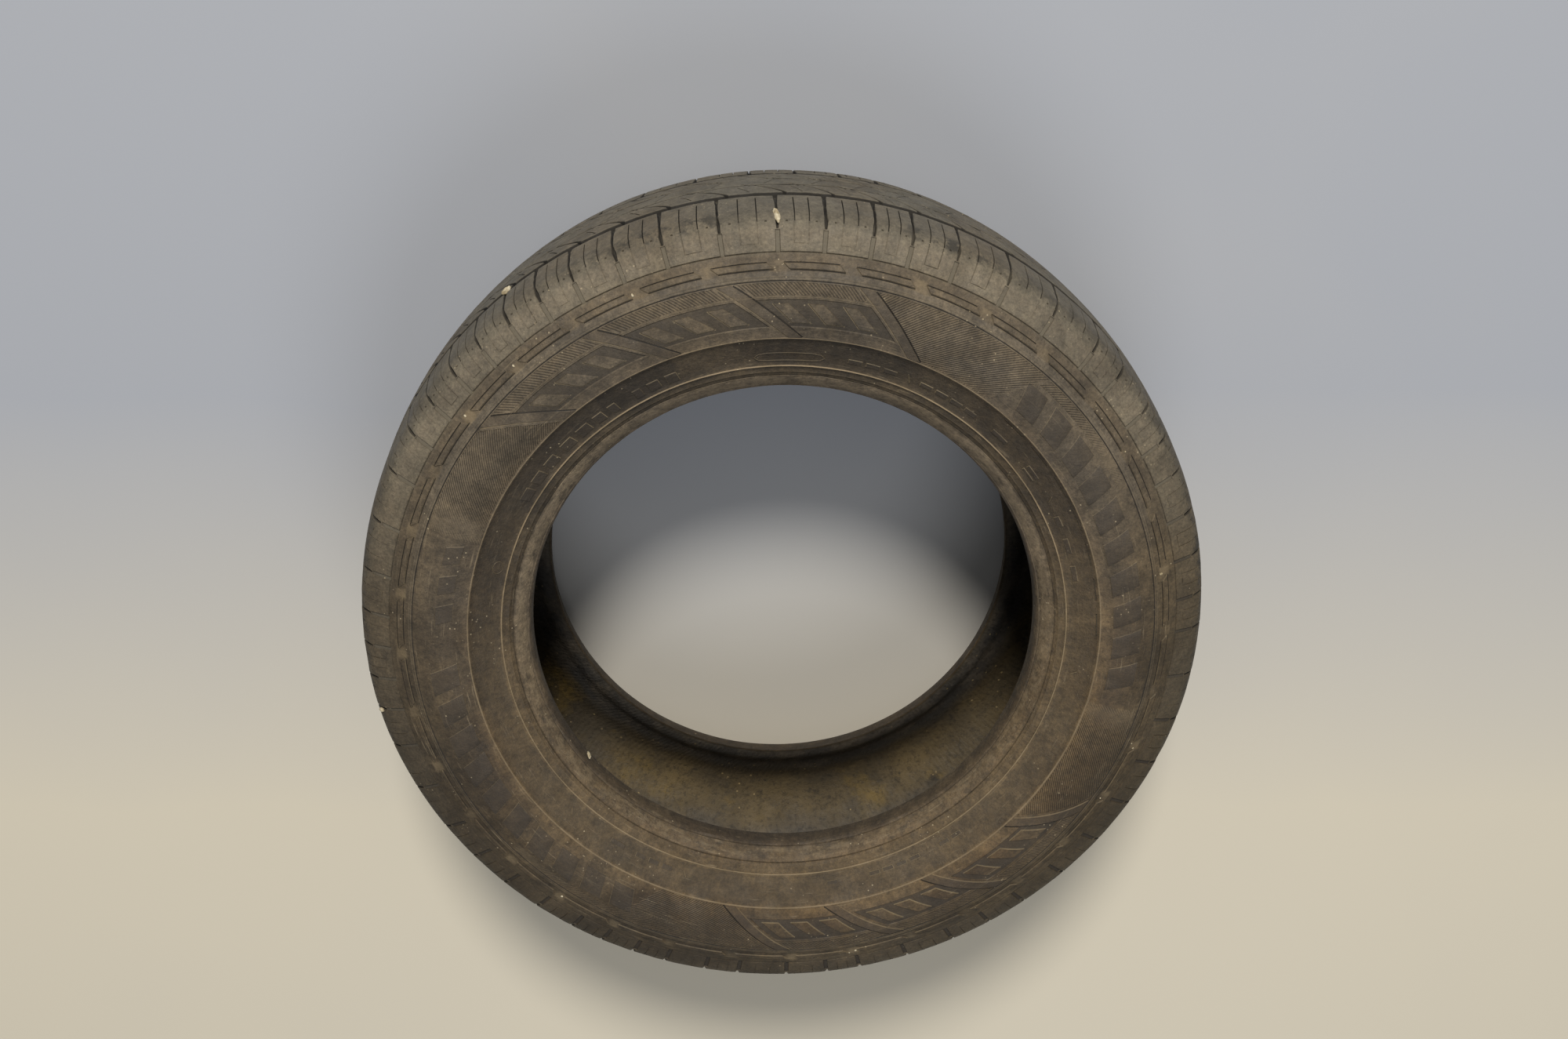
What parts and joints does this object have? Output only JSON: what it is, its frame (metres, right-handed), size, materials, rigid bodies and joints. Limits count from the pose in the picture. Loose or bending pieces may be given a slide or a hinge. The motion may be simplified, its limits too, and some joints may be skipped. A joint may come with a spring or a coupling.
{
  "type": "worn car tyre",
  "caption": "Worn radial car tyre without its rim, with grooved tread, ringed sidewalls and open bead hole, lying on one side.",
  "frame": {"origin": "centre of the tyre, on the axle line and midway between the sidewalls", "axes": "+Z along the axle line, up through the upper sidewall; +Y to the middle of the upper bar group"},
  "size_m": [0.6869, 0.687, 0.238],
  "materials": {
    "tyre": "old worn rubber, dusty and brown, tread a greyer green",
    "grit": "pale stones and dried dirt stuck in the rubber"
  },
  "bodies": {
    "root": {"tyre": "tyre"}
  },
  "joints": []
}
